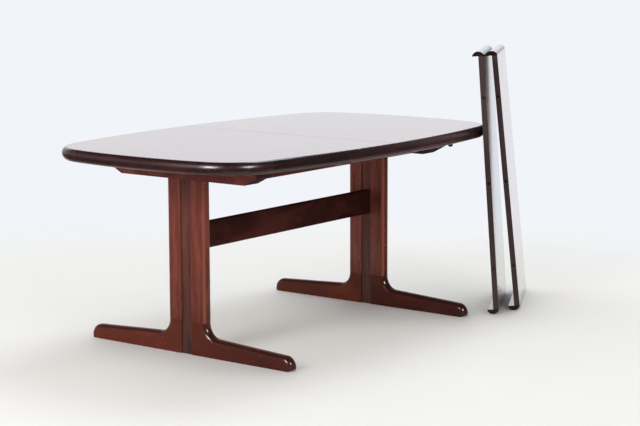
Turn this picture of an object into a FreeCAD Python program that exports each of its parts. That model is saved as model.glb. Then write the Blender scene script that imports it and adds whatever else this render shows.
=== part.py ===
import FreeCAD, Part
import math
import os

# Pull-apart dining table on two pedestals, with two loose leaves leaning on one corner of its top.
# Millimetres. The origin is on the floor under the middle of the top, +X runs along the table from the
# near pedestal to the far one, +Y is the left side and +Z is up.

# Table top
TOP_HEIGHT = 722.0
TOP_LENGTH = 1664.0
TOP_WIDTH = 1013.0
SIDE_BOW = 95.0
END_BOW = 74.0
CORNER_RADIUS = 197.0
PANEL_THICKNESS = 21.0
RIM_DEPTH = 44.0
RIM_BOW = 14.0
RIM_TOP_RADIUS = 6.0
RIM_LIP_RADIUS = 3.0
RIM_TOP_FLAT = 2.5
RIM_JOINT_SETBACK = 15.0
SEAM_GAP = 0.5
SEAM_EASE = 0.8

# Pedestals
PEDESTAL_SPACING = 1078.5
LEG_THICKNESS = 42.0
POST_HALF_SPAN = 85.0
CORE_WIDTH = 45.0
CORE_THICKNESS = 32.0
FOOT_REACH = 460.0
FOOT_HEIGHT_AT_POST = 68.0
FOOT_HEIGHT_AT_TIP = 48.0
FOOT_NOSE_RADIUS = 38.0
FOOT_TOE_RADIUS = 24.0
FOOT_TOE_LENGTH = 19.0
FOOT_INNER_RADIUS = 50.0
HEEL_HEIGHT = 118.0
LEG_EDGE_FLAT = 6.0
GROOVE_EDGE_RADIUS = 3.0

# Bearers across the pedestals
BEARER_HEIGHT = 39.0
BEARER_WIDTH = 80.0
BEARER_HALF_LENGTH = 279.0
BEARER_BEVEL_DEGREES = 27.5
BEARER_END_HEIGHT = 10.0
BEARER_EDGE_RADIUS = 3.0

# Stretcher between the pedestals
STRETCHER_BOTTOM = 362.0
STRETCHER_HEIGHT = 94.0
STRETCHER_THICKNESS = 26.0
STRETCHER_EDGE_RADIUS = 4.0

# Guide rails on the bearers and runners under the top
RAIL_CENTRE = 235.0
RAIL_WIDTH = 36.0
RAIL_TOP_CLEARANCE = 7.0
RAIL_DROP = 33.5
GROOVE_DEPTH = 10.0
GROOVE_HEIGHT = 14.0
GROOVE_RISE = 12.0
RUNNER_WIDTH = 30.0
RUNNER_HEIGHT = 43.0
RUNNER_SIDE_CLEARANCE = 0.5
RUNNER_BEARER_CLEARANCE = 1.0
TONGUE_TOP_CLEARANCE = 0.6
RUNNER_PAST_PEDESTAL = 102.5
RUNNER_OVERLAP = 240.0
RUNNER_RELIEF = 2.0
RUNNER_RELIEF_START = 30.0
STOP_LENGTH = 40.0
STOP_DROP = 24.0
STOP_CLEARANCE = 0.3

# Leaves, standing on one end against the far right corner
LEAF_WIDTH = 425.0
LEAF_TURN_DEGREES = 27.1
LEAF_ONE_LEAN_DEGREES = 4.0
LEAF_TWO_LEAN_DEGREES = 5.8
LEAF_ONE_LEAD = 95.0
LEAF_TWO_STEP = 86.4
LEAN_CLEARANCE = 0.3

# Travel of each half of the top: one leaf, and room to drop it past the dowels
LEAF_DROP_SLACK = 15.0
HALF_TRAVEL = LEAF_WIDTH + LEAF_DROP_SLACK

# Lock levers
LEVER_PAST_PEDESTAL = 23.5
LEVER_FROM_RAIL = 34.0
LEVER_REACH = 78.0
LEVER_THICKNESS = 8.0
LEVER_RISE = 4.0
LEVER_HUB_RADIUS = 13.0
LEVER_ARM_WIDTH = 14.0
LEVER_END_CLEARANCE = 0.3
CAM_CLEARANCE = 0.5
LEVER_BOLT_RADIUS = 4.0
LEVER_BORE_CLEARANCE = 0.05
LEVER_BOLT_HEAD_RADIUS = 8.0
LEVER_BOLT_HEAD_HEIGHT = 3.0
LEVER_BOLT_GRIP = 12.0
LEVER_SLEEVE_RADIUS = 7.0
KNOB_RADIUS = 9.0
KNOB_HEIGHT = 14.0
KNOB_EDGE_RADIUS = 6.0
KNOB_SPIGOT_RADIUS = 3.0

# Dowels and screws
EDGE_DOWEL_RADIUS = 4.5
EDGE_DOWEL_SEAT = 20.0
EDGE_DOWEL_REACH = 12.0
EDGE_DOWEL_SPACING = 330.0
SOCKET_CLEARANCE = 0.3
SOCKET_DEPTH = 14.0
LEG_DOWEL_RADIUS = 6.0
LEG_DOWEL_LENGTH = 60.0
LEG_DOWEL_SPACING = 26.0
STRETCHER_DOWEL_RADIUS = 5.0
STRETCHER_DOWEL_SEAT = 32.0
STRETCHER_DOWEL_REACH = 10.0
STRETCHER_DOWEL_SPACING = 50.0
SCREW_RADIUS = 2.5
SCREW_HEAD_RADIUS = 4.75
SCREW_HEAD_HEIGHT = 4.0
SCREW_HOLE_MARGIN = 0.75
RUNNER_SCREW_COUNT = 4
RUNNER_SCREW_RECESS = 20.0
RUNNER_SCREW_BITE = 12.0
RUNNER_SCREW_END_MARGIN = 40.0
RAIL_SCREW_SPACING = 30.0
RAIL_SCREW_RECESS = 12.0
RAIL_SCREW_BITE = 12.0
BEARER_SCREW_SPACING = 20.0
BEARER_SCREW_RECESS = 8.0
BEARER_SCREW_BITE = 60.0

# Levels and places that follow from the sizes above
PANEL_BOTTOM = TOP_HEIGHT - PANEL_THICKNESS
RIM_BOTTOM = TOP_HEIGHT - RIM_DEPTH
RUNNER_BOTTOM = PANEL_BOTTOM - RUNNER_HEIGHT
BEARER_TOP = RUNNER_BOTTOM - RUNNER_BEARER_CLEARANCE
BEARER_BOTTOM = BEARER_TOP - BEARER_HEIGHT
RAIL_TOP = PANEL_BOTTOM - RAIL_TOP_CLEARANCE
GROOVE_BOTTOM = BEARER_TOP + GROOVE_RISE
PEDESTAL_X = PEDESTAL_SPACING / 2
RAIL_HALF_LENGTH = PEDESTAL_X + BEARER_WIDTH / 2
RAIL_OUTER_FACE = RAIL_CENTRE + RAIL_WIDTH / 2
RUNNER_OUTER_END = PEDESTAL_X + RUNNER_PAST_PEDESTAL
RUNNER_OFFSET = RAIL_WIDTH / 2 + RUNNER_SIDE_CLEARANCE
POST_CENTRE = (CORE_WIDTH / 2 + POST_HALF_SPAN) / 2
LEG_EDGE_RADIUS = (LEG_THICKNESS - LEG_EDGE_FLAT) / 2
BEARER_INNER_FACE = PEDESTAL_X - BEARER_WIDTH / 2
FAR = 10000.0

# How far cutters run past what they cut, and how near two lengths are to count as equal
OVERRUN = 1.0
EQUAL = 0.0001
PARALLEL_RATIO = 0.999
HALF_TURN_DEGREES = 180.0
QUARTER_TURN_DEGREES = 90.0

V = FreeCAD.Vector
X_AXIS = V(1, 0, 0)
Y_AXIS = V(0, 1, 0)
Z_AXIS = V(0, 0, 1)
ORIGIN = V(0, 0, 0)


def box(x0, x1, y0, y1, z0, z1):
    """Block between two corners."""
    return Part.makeBox(x1 - x0, y1 - y0, z1 - z0, V(x0, y0, z0))


def prism(points, sweep):
    """Solid made by sweeping a closed polygon along a vector."""
    wire = Part.makePolygon(points + [points[0]])
    return Part.Face(wire).extrude(sweep)


def turned(shape):
    """Copy of a shape turned half a turn about the vertical through the origin."""
    copy = shape.copy()
    copy.rotate(ORIGIN, Z_AXIS, HALF_TURN_DEGREES)
    return copy


def long_edges(shape, direction, test):
    """Straight edges that run along a direction and pass a test on their middle point."""
    chosen = []
    for edge in shape.Edges:
        along = edge.Vertexes[-1].Point - edge.Vertexes[0].Point
        if along.Length > 0 and abs(along.normalize().dot(direction)) > PARALLEL_RATIO:
            if test(edge.CenterOfMass):
                chosen.append(edge)
    return chosen


def screw(x, y, seat, tip):
    """Pan-head screw: the head sits against the seat level, the shank runs to the tip level."""
    up = 1.0 if tip > seat else -1.0
    shank = Part.makeCylinder(SCREW_RADIUS, abs(tip - seat), V(x, y, seat), V(0, 0, up))
    head = Part.makeCylinder(SCREW_HEAD_RADIUS, SCREW_HEAD_HEIGHT, V(x, y, seat), V(0, 0, -up))
    return shank.fuse(head)


def screw_hole(x, y, mouth, seat, tip):
    """Hole for such a screw: a wide recess from the mouth to the seat, then the shank's own size."""
    up = 1.0 if tip > seat else -1.0
    recess_radius = SCREW_HEAD_RADIUS + SCREW_HOLE_MARGIN
    recess = Part.makeCylinder(recess_radius, abs(seat - mouth), V(x, y, mouth), V(0, 0, up))
    shank = Part.makeCylinder(SCREW_RADIUS, abs(tip - seat), V(x, y, seat), V(0, 0, up))
    return recess.fuse(shank)


def cut_all(shape, tools):
    """A shape with every tool taken out of it."""
    for tool in tools:
        shape = shape.cut(tool)
    return shape


# Outline of the top: side arcs, end arcs and corner arcs that run into each other

def arc_radius(half_chord, bow):
    """Radius of an arc that drops by its bow over half its chord."""
    return (half_chord ** 2 + bow ** 2) / (2 * bow)


def rounding_inset(radius):
    """How far inside the outline a rounding is centred when it runs into the rim's bowed face."""
    return RIM_FACE_RADIUS - math.sqrt((RIM_FACE_RADIUS - radius) ** 2 - (RIM_DEPTH / 2 - radius) ** 2)


RIM_FACE_RADIUS = arc_radius(RIM_DEPTH / 2, RIM_BOW)
RIM_TOP_INSET = rounding_inset(RIM_TOP_RADIUS)
RIM_LIP_INSET = rounding_inset(RIM_LIP_RADIUS)
RIM_WIDTH = RIM_TOP_INSET + RIM_TOP_FLAT
SIDE_RADIUS = arc_radius(TOP_LENGTH / 2, SIDE_BOW)
END_RADIUS = arc_radius(TOP_WIDTH / 2, END_BOW)
SIDE_CENTRE_Y = TOP_WIDTH / 2 - SIDE_RADIUS
END_CENTRE_X = TOP_LENGTH / 2 - END_RADIUS


def corner_centre():
    """Centre of the corner arc that touches the side arc and the end arc, in the +X +Y quarter."""
    side = V(0, SIDE_CENTRE_Y, 0)
    end = V(END_CENTRE_X, 0, 0)
    to_side = SIDE_RADIUS - CORNER_RADIUS
    to_end = END_RADIUS - CORNER_RADIUS
    between = end - side
    along = (to_side ** 2 - to_end ** 2 + between.Length ** 2) / (2 * between.Length)
    across = math.sqrt(to_side ** 2 - along ** 2)
    direction = V(between).normalize()
    return side + direction * along + V(direction.y, -direction.x, 0) * across


CORNER = corner_centre()


def corner_joins(inset):
    """Points where the inset corner arc meets the inset side arc and the inset end arc."""
    from_side = (CORNER - V(0, SIDE_CENTRE_Y, 0)).normalize()
    from_end = (CORNER - V(END_CENTRE_X, 0, 0)).normalize()
    radius = CORNER_RADIUS - inset
    return CORNER + from_side * radius, CORNER + from_end * radius


RIM_SIDE_JOIN, RIM_END_JOIN = corner_joins(0.0)


def outline_face(inset):
    """Flat face bounded by the top's outline, drawn in by an inset."""
    on_side, on_end = corner_joins(inset)
    mid_corner = CORNER + V(on_side + on_end - CORNER * 2).normalize() * (CORNER_RADIUS - inset)
    half_length = TOP_LENGTH / 2 - inset
    half_width = TOP_WIDTH / 2 - inset
    edges = []
    for sx, sy in ((1, 1), (1, -1), (-1, -1), (-1, 1)):
        corner = [V(p.x * sx, p.y * sy, 0) for p in (on_side, mid_corner, on_end)]
        if sx * sy < 0:
            corner.reverse()
        edges.append(Part.Arc(*corner).toShape())
        if sx * sy > 0:
            middle = V(half_length * sx, 0, 0)
            stop = V(corner[2].x, -corner[2].y, 0)
        else:
            middle = V(0, half_width * sy, 0)
            stop = V(-corner[2].x, corner[2].y, 0)
        edges.append(Part.Arc(corner[2], middle, stop).toShape())
    return Part.Face(Part.Wire(edges))


def outline_solid(inset, bottom, top):
    """Upright solid of the inset outline between two levels."""
    face = outline_face(inset)
    face.translate(V(0, 0, bottom))
    return face.extrude(V(0, 0, top - bottom))


def edges_at_level(shape, level):
    """Edges that lie wholly at one level."""
    def is_there(edge):
        low = abs(edge.BoundBox.ZMin - level)
        high = abs(edge.BoundBox.ZMax - level)
        return low < EQUAL and high < EQUAL

    return [edge for edge in shape.Edges if is_there(edge)]


def seam_cutter():
    """V-shaped bar that eases the seam's upper edges on both halves."""
    ease = SEAM_EASE + SEAM_GAP / 2
    left = V(-ease, -TOP_WIDTH, TOP_HEIGHT)
    right = V(ease, -TOP_WIDTH, TOP_HEIGHT)
    foot = V(0, -TOP_WIDTH, TOP_HEIGHT - ease)
    return prism([left, right, foot], V(0, 2 * TOP_WIDTH, 0))


def rim_profile(spot):
    """The rim's section as a face; spot makes a point of an inset from the outline and a drop."""
    half = RIM_DEPTH / 2
    face = spot(RIM_FACE_RADIUS, half)
    top = spot(RIM_TOP_INSET, RIM_TOP_RADIUS)
    lip = spot(RIM_LIP_INSET, RIM_DEPTH - RIM_LIP_RADIUS)
    up = spot(0, -1) - spot(0, 0)
    top_way = (top - face).normalize()
    lip_way = (lip - face).normalize()
    top_start = top + up * RIM_TOP_RADIUS
    top_mid = top + (up + top_way).normalize() * RIM_TOP_RADIUS
    top_end = face + top_way * RIM_FACE_RADIUS
    lip_start = face + lip_way * RIM_FACE_RADIUS
    lip_mid = lip + (lip_way - up).normalize() * RIM_LIP_RADIUS
    lip_end = lip - up * RIM_LIP_RADIUS
    inner_top = spot(RIM_WIDTH, 0)
    inner_bottom = spot(RIM_WIDTH, RIM_DEPTH)
    edges = [
        Part.makeLine(inner_top, top_start),
        Part.Arc(top_start, top_mid, top_end).toShape(),
        Part.Arc(top_end, spot(0, half), lip_start).toShape(),
        Part.Arc(lip_start, lip_mid, lip_end).toShape(),
        Part.makeLine(lip_end, inner_bottom),
        Part.makeLine(inner_bottom, inner_top),
    ]
    return Part.Face(Part.Wire(edges))


def rim_sweep(centre, radius, start, stop):
    """Length of rim round one arc of the outline, between two directions from the arc's centre."""
    outward = V(start).normalize()

    def spot(inset, drop):
        return centre + outward * (radius - inset) + Z_AXIS * (TOP_HEIGHT - drop)

    angle = math.degrees(math.atan2(start.x * stop.y - start.y * stop.x, start.dot(stop)))
    return rim_profile(spot).revolve(centre, Z_AXIS, angle)


def near_rim_pieces():
    """The near half's five rim lengths, by name."""
    side_centre = V(0, SIDE_CENTRE_Y, 0)
    end_centre = V(-END_CENTRE_X, 0, 0)
    bend_centre = V(-CORNER.x, CORNER.y, 0)
    side_way = bend_centre - side_centre
    end_way = bend_centre - end_centre
    side = rim_sweep(side_centre, SIDE_RADIUS, Y_AXIS, side_way)
    bend = rim_sweep(bend_centre, CORNER_RADIUS, side_way, end_way)
    end = rim_sweep(end_centre, END_RADIUS, end_way, V(end_way.x, -end_way.y, 0))
    side_x = RIM_JOINT_SETBACK - RIM_SIDE_JOIN.x
    end_y = RIM_END_JOIN.y - RIM_JOINT_SETBACK
    z0, z1 = RIM_BOTTOM - OVERRUN, TOP_HEIGHT + OVERRUN
    left_side = side.common(box(side_x, -SEAM_GAP / 2, 0, FAR, z0, z1)).cut(seam_cutter())
    left_corner = bend.fuse(side).fuse(end).common(box(-FAR, side_x, end_y, FAR, z0, z1))
    return {
        "left_side_rim": left_side,
        "right_side_rim": left_side.mirror(ORIGIN, Y_AXIS),
        "left_corner_rim": left_corner,
        "right_corner_rim": left_corner.mirror(ORIGIN, Y_AXIS),
        "end_rim": end.common(box(-FAR, 0, -end_y, end_y, z0, z1)),
    }


# Runners, stops and their screws, built for the near half

def runner_screw_places():
    """Where the runner screws stand along the near half."""
    first = -RUNNER_OUTER_END + RUNNER_SCREW_END_MARGIN
    step = (-RUNNER_SCREW_END_MARGIN - first) / (RUNNER_SCREW_COUNT - 1)
    return [first + step * i for i in range(RUNNER_SCREW_COUNT)]


def near_runner(rail_y, side):
    """Near half's runner beside the rail at rail_y; side is +1 or -1 for the rail's +Y or -Y face."""
    face_y = rail_y + side * RUNNER_OFFSET
    back_y = face_y + side * RUNNER_WIDTH
    tip_y = face_y - side * GROOVE_DEPTH
    tongue_top = GROOVE_BOTTOM + GROOVE_HEIGHT - TONGUE_TOP_CLEARANCE
    profile = [
        V(-RUNNER_OUTER_END, face_y, RUNNER_BOTTOM),
        V(-RUNNER_OUTER_END, back_y, RUNNER_BOTTOM),
        V(-RUNNER_OUTER_END, back_y, PANEL_BOTTOM),
        V(-RUNNER_OUTER_END, face_y, PANEL_BOTTOM),
        V(-RUNNER_OUTER_END, face_y, tongue_top),
        V(-RUNNER_OUTER_END, tip_y, tongue_top),
        V(-RUNNER_OUTER_END, tip_y, GROOVE_BOTTOM),
        V(-RUNNER_OUTER_END, face_y, GROOVE_BOTTOM),
    ]
    runner = prism(profile, V(RUNNER_OUTER_END + RUNNER_OVERLAP, 0, 0))
    relief_bottom = PANEL_BOTTOM - RUNNER_RELIEF
    relief = box(-RUNNER_RELIEF_START, FAR, -FAR, FAR, relief_bottom, PANEL_BOTTOM + OVERRUN)
    holes = [screw_hole(x, (face_y + back_y) / 2, RUNNER_BOTTOM, RUNNER_BOTTOM + RUNNER_SCREW_RECESS,
                        PANEL_BOTTOM + RUNNER_SCREW_BITE) for x in runner_screw_places()]
    return cut_all(runner.cut(relief), holes)


def runner_middle(rail_y, side):
    """Middle line of a runner across the table."""
    return rail_y + side * (RUNNER_OFFSET + RUNNER_WIDTH / 2)


NEAR_RUNNER_LINES = [runner_middle(RAIL_CENTRE, -1), runner_middle(-RAIL_CENTRE, -1)]


def near_runner_screws():
    """Screws that hold both of the near half's runners."""
    seat = RUNNER_BOTTOM + RUNNER_SCREW_RECESS
    tip = PANEL_BOTTOM + RUNNER_SCREW_BITE
    return [screw(x, y, seat, tip) for y in NEAR_RUNNER_LINES for x in runner_screw_places()]


def near_stop_blocks():
    """Blocks under the near half's runners that meet the near bearer at full travel."""
    face = -BEARER_INNER_FACE + HALF_TRAVEL + STOP_CLEARANCE
    half = RUNNER_WIDTH / 2
    return [box(face, face + STOP_LENGTH, y - half, y + half, RUNNER_BOTTOM - STOP_DROP, RUNNER_BOTTOM)
            for y in NEAR_RUNNER_LINES]


# Lock lever, built for the near half: its pivot is on the left, its arm points left

LEVER_BOTTOM = BEARER_TOP + LEVER_RISE
LEVER_TOP = LEVER_BOTTOM + LEVER_THICKNESS
LEVER_PIVOT = V(-PEDESTAL_X - LEVER_PAST_PEDESTAL, RAIL_OUTER_FACE + LEVER_FROM_RAIL, 0)
KNOB_CENTRE = LEVER_PIVOT + V(0, LEVER_REACH, 0)
SLEEVE_BOTTOM = LEVER_TOP + LEVER_END_CLEARANCE
BOLT_HEAD_TOP = LEVER_BOTTOM - LEVER_END_CLEARANCE


def upright(radius, place, bottom, top):
    """Upright cylinder between two levels."""
    return Part.makeCylinder(radius, top - bottom, V(place.x, place.y, bottom))


def near_lever():
    """Plate with a hub, a cam nose towards the rail and an arm out to the knob."""
    x, y = LEVER_PIVOT.x, LEVER_PIVOT.y
    half = LEVER_ARM_WIDTH / 2
    nose_reach = LEVER_FROM_RAIL - CAM_CLEARANCE
    nose_end = LEVER_PIVOT - V(0, nose_reach - half, 0)
    plate = upright(LEVER_HUB_RADIUS, LEVER_PIVOT, LEVER_BOTTOM, LEVER_TOP)
    plate = plate.fuse(box(x - half, x + half, nose_end.y, KNOB_CENTRE.y, LEVER_BOTTOM, LEVER_TOP))
    plate = plate.fuse(upright(half, nose_end, LEVER_BOTTOM, LEVER_TOP))
    plate = plate.fuse(upright(KNOB_RADIUS, KNOB_CENTRE, LEVER_BOTTOM, LEVER_TOP))
    below, above = LEVER_BOTTOM - OVERRUN, LEVER_TOP + OVERRUN
    bore = upright(LEVER_BOLT_RADIUS + LEVER_BORE_CLEARANCE, LEVER_PIVOT, below, above)
    eye = upright(KNOB_SPIGOT_RADIUS, KNOB_CENTRE, below, above)
    return plate.removeSplitter().cut(bore).cut(eye)


def near_lever_knob():
    """Rounded knob that hangs from the lever's end by a spigot."""
    bottom = LEVER_BOTTOM - KNOB_HEIGHT
    ball = upright(KNOB_RADIUS, KNOB_CENTRE, bottom, LEVER_BOTTOM)
    ball = ball.makeFillet(KNOB_EDGE_RADIUS, edges_at_level(ball, bottom))
    return ball.fuse(upright(KNOB_SPIGOT_RADIUS, KNOB_CENTRE, LEVER_BOTTOM, LEVER_TOP))


def near_lever_bolt():
    """Shoulder bolt that carries the lever, driven up through the sleeve into the panel."""
    head_bottom = BOLT_HEAD_TOP - LEVER_BOLT_HEAD_HEIGHT
    head = upright(LEVER_BOLT_HEAD_RADIUS, LEVER_PIVOT, head_bottom, BOLT_HEAD_TOP)
    shank = upright(LEVER_BOLT_RADIUS, LEVER_PIVOT, BOLT_HEAD_TOP, PANEL_BOTTOM + LEVER_BOLT_GRIP)
    return head.fuse(shank)


def near_lever_sleeve():
    """Spacer sleeve between the lever and the panel."""
    sleeve = upright(LEVER_SLEEVE_RADIUS, LEVER_PIVOT, SLEEVE_BOTTOM, PANEL_BOTTOM)
    bore = upright(LEVER_BOLT_RADIUS, LEVER_PIVOT, SLEEVE_BOTTOM - OVERRUN, PANEL_BOTTOM + OVERRUN)
    return sleeve.cut(bore)


# Edge dowels and sockets of the halves and the leaves

def edge_dowel_places():
    """Where the edge dowels stand across the table."""
    return [-EDGE_DOWEL_SPACING, 0.0, EDGE_DOWEL_SPACING]


def edge_dowel(x, y, z):
    """Dowel seated in the edge at x, reaching out along +X."""
    start = V(x - EDGE_DOWEL_SEAT, y, z)
    return Part.makeCylinder(EDGE_DOWEL_RADIUS, EDGE_DOWEL_SEAT + EDGE_DOWEL_REACH, start, X_AXIS)


def dowel_seat(x, y, z):
    """Hole that an edge dowel is glued into."""
    return Part.makeCylinder(EDGE_DOWEL_RADIUS, EDGE_DOWEL_SEAT, V(x - EDGE_DOWEL_SEAT, y, z), X_AXIS)


def dowel_socket(x, y, z):
    """Loose hole, open towards -X, that takes a neighbour's dowel."""
    return Part.makeCylinder(EDGE_DOWEL_RADIUS + SOCKET_CLEARANCE, SOCKET_DEPTH, V(x, y, z), X_AXIS)


def near_panel():
    """Near half's panel, with the screw and bolt holes but not the edge holes."""
    seam = -SEAM_GAP / 2
    panel = outline_solid(RIM_WIDTH, PANEL_BOTTOM, TOP_HEIGHT).cut(seam_cutter())
    panel = panel.common(box(-FAR, seam, -FAR, FAR, PANEL_BOTTOM - OVERRUN, TOP_HEIGHT + OVERRUN))
    holes = [upright(SCREW_RADIUS, V(x, y, 0), PANEL_BOTTOM, PANEL_BOTTOM + RUNNER_SCREW_BITE)
             for y in NEAR_RUNNER_LINES for x in runner_screw_places()]
    holes.append(upright(LEVER_BOLT_RADIUS, LEVER_PIVOT, PANEL_BOTTOM, PANEL_BOTTOM + LEVER_BOLT_GRIP))
    return cut_all(panel, holes)


def half_top(half, parts):
    """All nodes of one half; the far half is the near one turned half a turn."""
    near = half == "near"
    place = (lambda shape: shape) if near else turned
    swap = {"left": "right", "right": "left"}
    for name, shape in near_rim_pieces().items():
        first, rest = name.split("_", 1)
        if not near:
            first = swap.get(first, first)
        parts[half + "_" + first + "_" + rest] = place(shape)
    parts[half + "_inner_runner"] = place(near_runner(RAIL_CENTRE, -1))
    parts[half + "_outer_runner"] = place(near_runner(-RAIL_CENTRE, -1))
    parts[half + "_runner_screws"] = place(Part.makeCompound(near_runner_screws()))
    parts[half + "_stop_blocks"] = place(Part.makeCompound(near_stop_blocks()))
    parts[half + "_lever"] = place(near_lever())
    parts[half + "_lever_knob"] = place(near_lever_knob())
    parts[half + "_lever_bolt"] = place(near_lever_bolt())
    parts[half + "_lever_sleeve"] = place(near_lever_sleeve())
    middle = TOP_HEIGHT - PANEL_THICKNESS / 2
    panel = place(near_panel())
    if near:
        edge = -SEAM_GAP / 2
        seats = [dowel_seat(edge, y, middle) for y in edge_dowel_places()]
        dowels = [edge_dowel(edge, y, middle) for y in edge_dowel_places()]
        parts["near_panel"] = cut_all(panel, seats)
        parts["near_seam_dowels"] = Part.makeCompound(dowels)
    else:
        edge = SEAM_GAP / 2
        sockets = [dowel_socket(edge, y, middle) for y in edge_dowel_places()]
        parts["far_panel"] = cut_all(panel, sockets)


# Pedestals, built for the near left leg and mirrored

def leg_profile():
    """Side view of one leg as a face in the YZ plane: post, heel and foot in one outline."""
    slope = math.atan2(FOOT_HEIGHT_AT_POST - FOOT_HEIGHT_AT_TIP, FOOT_REACH - POST_HALF_SPAN)

    def top_level(y):
        return FOOT_HEIGHT_AT_POST - math.tan(slope) * (y - POST_HALF_SPAN)

    normal = V(0, math.sin(slope), math.cos(slope))
    nose_y = FOOT_REACH - FOOT_NOSE_RADIUS
    nose = V(0, nose_y, top_level(nose_y) - FOOT_NOSE_RADIUS / math.cos(slope))
    inner_y = POST_HALF_SPAN + FOOT_INNER_RADIUS
    inner = V(0, inner_y, top_level(inner_y) + FOOT_INNER_RADIUS / math.cos(slope))
    nose_start = nose + V(0, FOOT_NOSE_RADIUS, 0)
    nose_mid = nose + (normal + Y_AXIS).normalize() * FOOT_NOSE_RADIUS
    nose_end = nose + normal * FOOT_NOSE_RADIUS
    inner_start = inner - normal * FOOT_INNER_RADIUS
    inner_mid = inner - (normal + Y_AXIS).normalize() * FOOT_INNER_RADIUS
    inner_end = inner - Y_AXIS * FOOT_INNER_RADIUS
    groove = CORE_WIDTH / 2
    edges = [
        Part.makeLine(V(0, groove, 0), V(0, FOOT_REACH, 0)),
        Part.makeLine(V(0, FOOT_REACH, 0), nose_start),
        Part.Arc(nose_start, nose_mid, nose_end).toShape(),
        Part.makeLine(nose_end, inner_start),
        Part.Arc(inner_start, inner_mid, inner_end).toShape(),
        Part.makeLine(inner_end, V(0, POST_HALF_SPAN, BEARER_BOTTOM)),
        Part.makeLine(V(0, POST_HALF_SPAN, BEARER_BOTTOM), V(0, groove, BEARER_BOTTOM)),
        Part.makeLine(V(0, groove, BEARER_BOTTOM), V(0, groove, 0)),
    ]
    return Part.Face(Part.Wire(edges))


def toe_cutter():
    """What is taken off under the near left foot's tip, so that the toe lifts off the floor."""
    x0 = -PEDESTAL_X - LEG_THICKNESS / 2 - OVERRUN
    x1 = -PEDESTAL_X + LEG_THICKNESS / 2 + OVERRUN
    start = FOOT_REACH - FOOT_TOE_LENGTH
    below = box(x0, x1, start, FOOT_REACH + OVERRUN, -OVERRUN, FOOT_TOE_RADIUS)
    round_toe = Part.makeCylinder(FOOT_TOE_RADIUS, x1 - x0, V(x0, start, FOOT_TOE_RADIUS), X_AXIS)
    return below.cut(round_toe)


def near_left_leg():
    """Leg with its edges rounded, before it is parted into heel and post."""
    face = leg_profile()
    face.translate(V(-PEDESTAL_X - LEG_THICKNESS / 2, 0, 0))
    leg = face.extrude(V(LEG_THICKNESS, 0, 0))
    groove = CORE_WIDTH / 2

    def is_front_or_back(edge):
        return edge.BoundBox.XLength < EQUAL

    def is_outer(edge):
        middle = edge.CenterOfMass
        on_floor = edge.BoundBox.ZMax < EQUAL
        on_top = edge.BoundBox.ZMin > BEARER_BOTTOM - EQUAL
        return middle.y > groove + EQUAL and not on_floor and not on_top

    outer = [e for e in leg.Edges if is_front_or_back(e) and is_outer(e)]
    leg = leg.makeFillet(LEG_EDGE_RADIUS, outer).cut(toe_cutter())
    inner = long_edges(leg, Z_AXIS, lambda p: abs(p.y - groove) < EQUAL)
    return leg.makeFillet(GROOVE_EDGE_RADIUS, inner)


def leg_dowel_places():
    """Centres of the near left leg's two dowels."""
    return [V(-PEDESTAL_X, POST_CENTRE + side * LEG_DOWEL_SPACING / 2, 0) for side in (-1, 1)]


def leg_dowels():
    """Dowels across the joint between heel and post of the near left leg."""
    half = LEG_DOWEL_LENGTH / 2
    bottom, top = HEEL_HEIGHT - half, HEEL_HEIGHT + half
    return [upright(LEG_DOWEL_RADIUS, place, bottom, top) for place in leg_dowel_places()]


def bearer_screw_places():
    """Where the near left leg's bearer screws stand."""
    return [V(-PEDESTAL_X + side * BEARER_SCREW_SPACING / 2, POST_CENTRE, 0) for side in (-1, 1)]


BEARER_SCREW_SEAT = BEARER_TOP - BEARER_SCREW_RECESS
BEARER_SCREW_TIP = BEARER_BOTTOM - BEARER_SCREW_BITE


def bearer_screw_holes():
    """Holes for the near left leg's bearer screws."""
    return [screw_hole(p.x, p.y, BEARER_TOP, BEARER_SCREW_SEAT, BEARER_SCREW_TIP)
            for p in bearer_screw_places()]


def bearer_screws():
    """Screws from the bearer into the near left post."""
    return [screw(p.x, p.y, BEARER_SCREW_SEAT, BEARER_SCREW_TIP) for p in bearer_screw_places()]


def rail_screw_places():
    """Where the screws into the near end of the left rail stand."""
    return [V(-PEDESTAL_X + side * RAIL_SCREW_SPACING / 2, RAIL_CENTRE, 0) for side in (-1, 1)]


RAIL_SCREW_SEAT = BEARER_BOTTOM + RAIL_SCREW_RECESS
RAIL_SCREW_TIP = BEARER_TOP + RAIL_SCREW_BITE


def rail_screw_holes():
    """Holes for the screws into the near end of the left rail."""
    return [screw_hole(p.x, p.y, BEARER_BOTTOM, RAIL_SCREW_SEAT, RAIL_SCREW_TIP)
            for p in rail_screw_places()]


def rail_screws():
    """Screws from the near bearer up into the left rail."""
    return [screw(p.x, p.y, RAIL_SCREW_SEAT, RAIL_SCREW_TIP) for p in rail_screw_places()]


def mirrored(shapes):
    """Shapes of the near left quarter and their mirror images in the near right quarter."""
    return list(shapes) + [s.mirror(ORIGIN, Y_AXIS) for s in shapes]


def all_quarters(shapes):
    """Shapes of the near left quarter and their images in the other three quarters."""
    near = mirrored(shapes)
    return near + [s.mirror(ORIGIN, X_AXIS) for s in near]


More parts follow.
